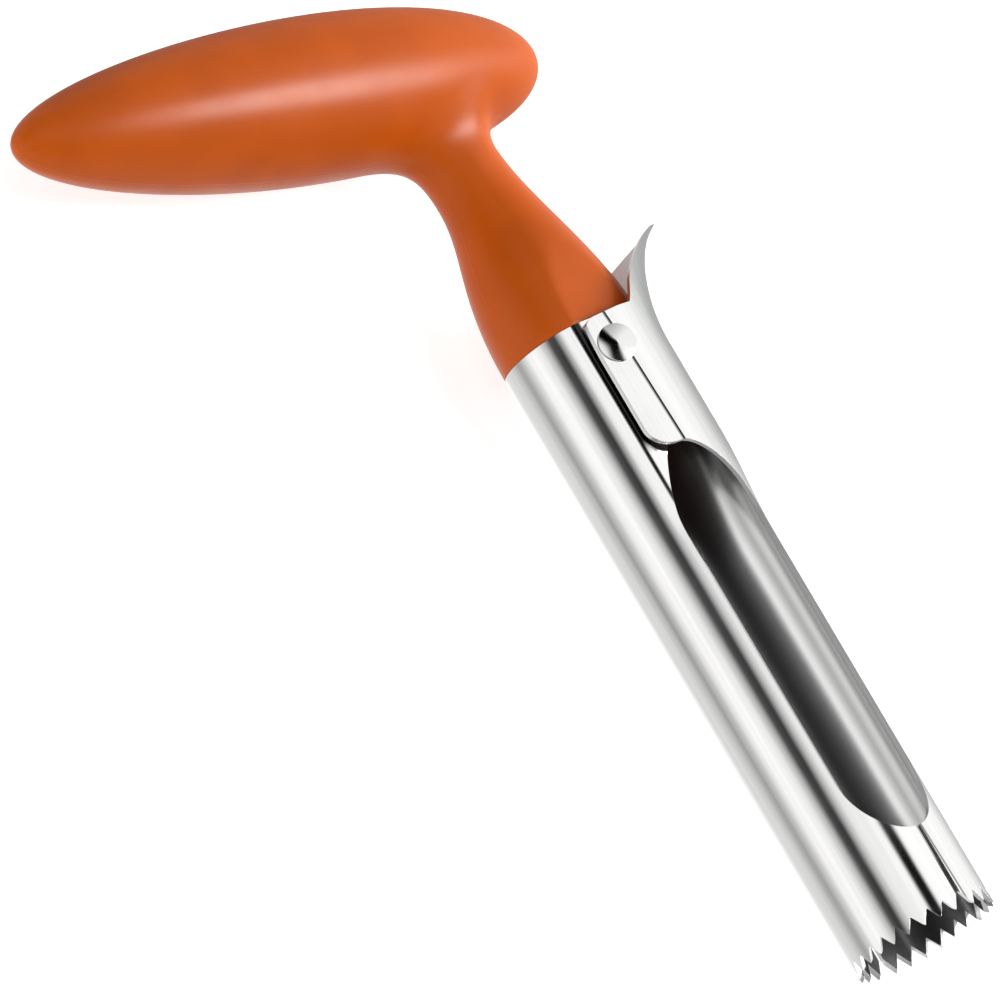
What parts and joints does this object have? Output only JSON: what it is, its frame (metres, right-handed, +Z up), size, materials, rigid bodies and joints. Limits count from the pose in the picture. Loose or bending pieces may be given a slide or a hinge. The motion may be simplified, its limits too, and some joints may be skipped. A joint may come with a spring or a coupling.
{
  "type": "apple corer",
  "caption": "Hand apple corer lying on its side: orange cross grip on a toothed steel tube with side windows, and a thumb lever that swings one blade open.",
  "frame": {"origin": "tube's axis in the plane of the roots of the teeth, at the cutting mouth", "axes": "+Y along the tube from the mouth to the handle, +X towards the lever blade and its thumb tab, +Z up as the corer lies on its side, with the rivet's coned head on top"},
  "size_m": [0.1078, 0.1826, 0.0294],
  "materials": {
    "grip_plastic": "satin moulded, fine grain",
    "blade_steel": "polished, with a faint lengthwise grain",
    "rivet_steel": "turned, bright"
  },
  "bodies": {
    "grip_body": {"handle": "grip_plastic", "fixed_blade": "blade_steel", "pivot_rivet": "rivet_steel"},
    "lever": {"moving_blade": "blade_steel"}
  },
  "joints": [
    {"name": "lever_pivot", "type": "hinge", "parent": "grip_body", "child": "lever", "pos_m": [-0.003, 0.1051, 0], "axis": [0, 0, 1], "range_deg": [0, 15]}
  ]
}
